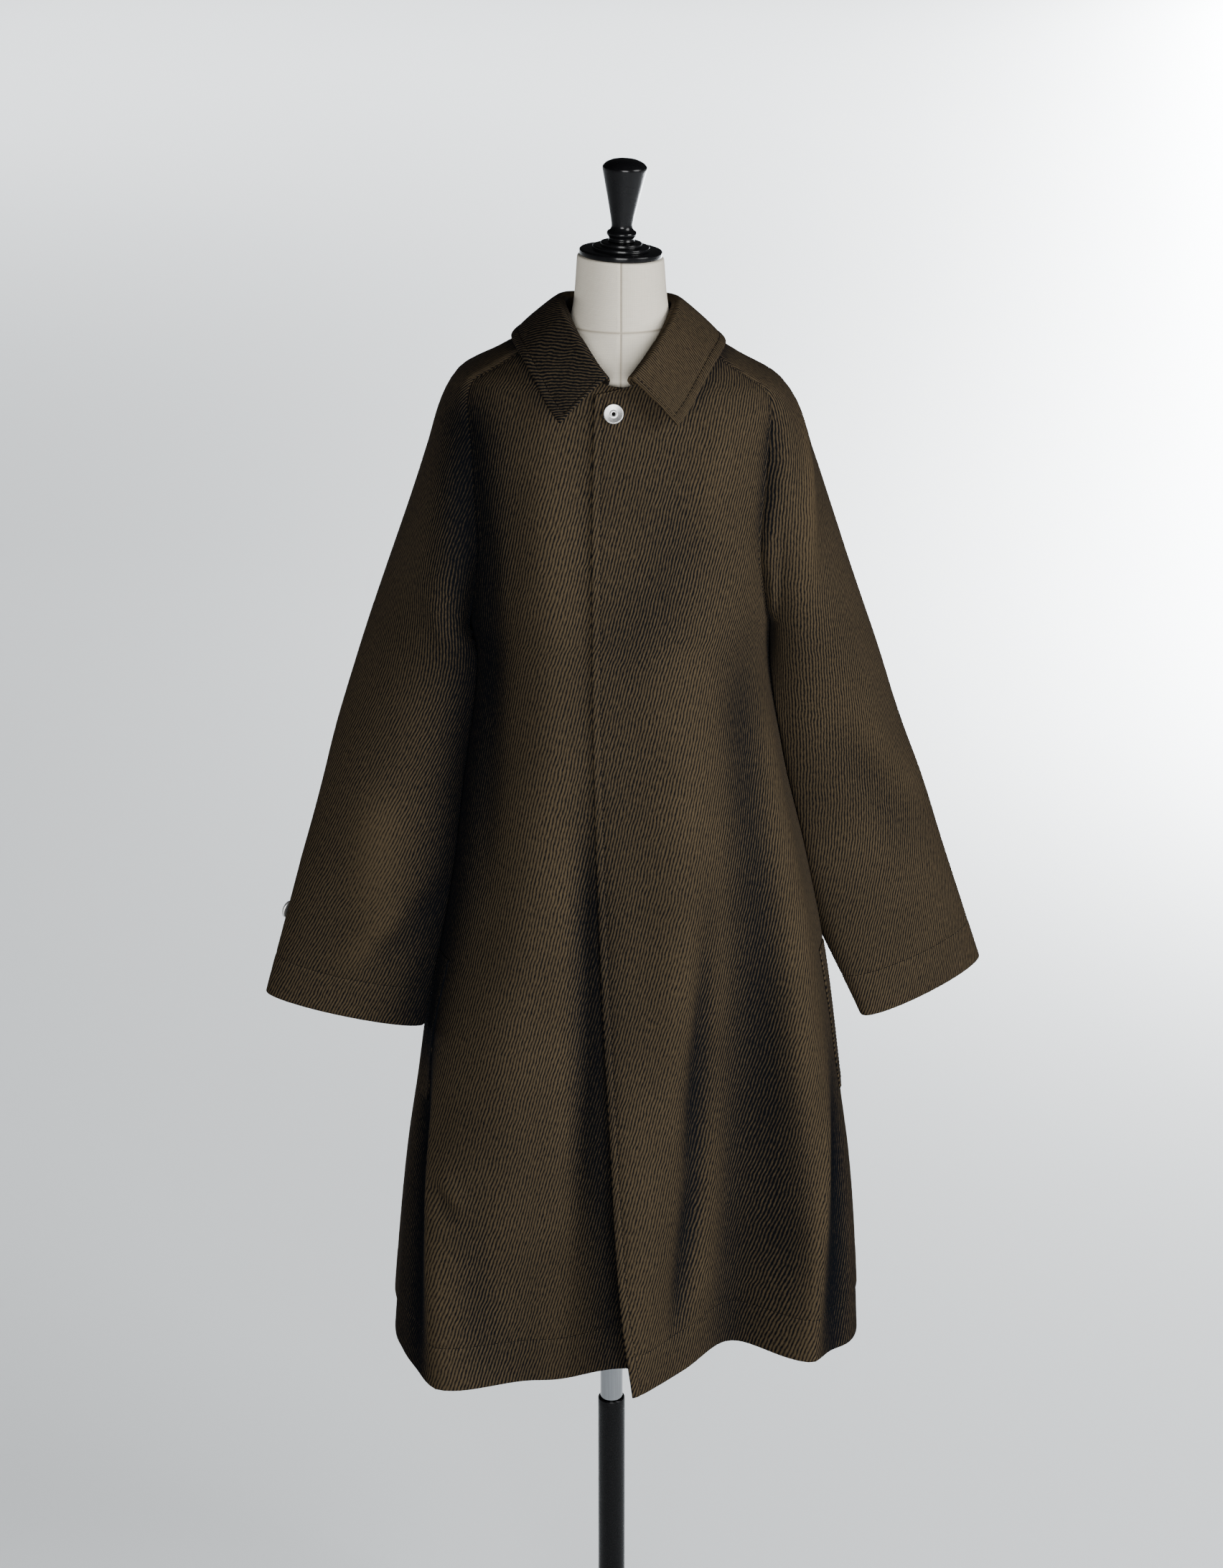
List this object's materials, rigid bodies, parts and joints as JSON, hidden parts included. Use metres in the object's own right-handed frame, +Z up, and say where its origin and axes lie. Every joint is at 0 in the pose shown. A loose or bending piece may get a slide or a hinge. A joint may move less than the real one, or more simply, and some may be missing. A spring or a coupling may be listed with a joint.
{
  "type": "balmacaan coat on a dress form",
  "caption": "Loose knee-length coat with a turned-down collar, hidden front fastening and slanted side pockets, hanging on a limbless dress form with a round stand.",
  "frame": {"origin": "middle of the round base's underside, on the floor under the pole", "axes": "+Z up along the pole; -Y is the way the coat's front faces; +X is the wearer's left"},
  "size_m": [0.771, 0.4042, 1.7677],
  "materials": {
    "wool_twill": "two-tone wool twill, golden brown lines on a near-black ground, with a bluish sheen at a low angle",
    "button_metal": "pale satin metal, dished",
    "linen": "off-white linen stretched over the form",
    "black_wood": "turned wood in black gloss lacquer",
    "chrome": "polished chrome",
    "black_paint": "black paint, half matt"
  },
  "bodies": {
    "stand": {"stand_base": "black_paint", "stand_tube": "black_paint"},
    "pole": {"stand_pole": "chrome"},
    "dressed_form": {"front_left": "wool_twill", "front_right": "wool_twill", "back": "wool_twill", "sleeve_left": "wool_twill", "sleeve_right": "wool_twill", "collar": "wool_twill", "pocket_welt_left": "wool_twill", "pocket_welt_right": "wool_twill", "neck_button": "button_metal", "cuff_button_left": "button_metal", "cuff_button_right": "button_metal", "form_body": "linen", "neck_cap": "black_wood", "neck_finial": "black_wood"}
  },
  "joints": [
    {"name": "pole_slide", "type": "slide", "parent": "stand", "child": "pole", "axis": [0, 0, 1], "range_m": [-0.12, 0.15]},
    {"name": "form_turn", "type": "hinge", "parent": "pole", "child": "dressed_form", "pos_m": [0, 0, 0.86], "axis": [0, 0, 1], "continuous": true}
  ]
}
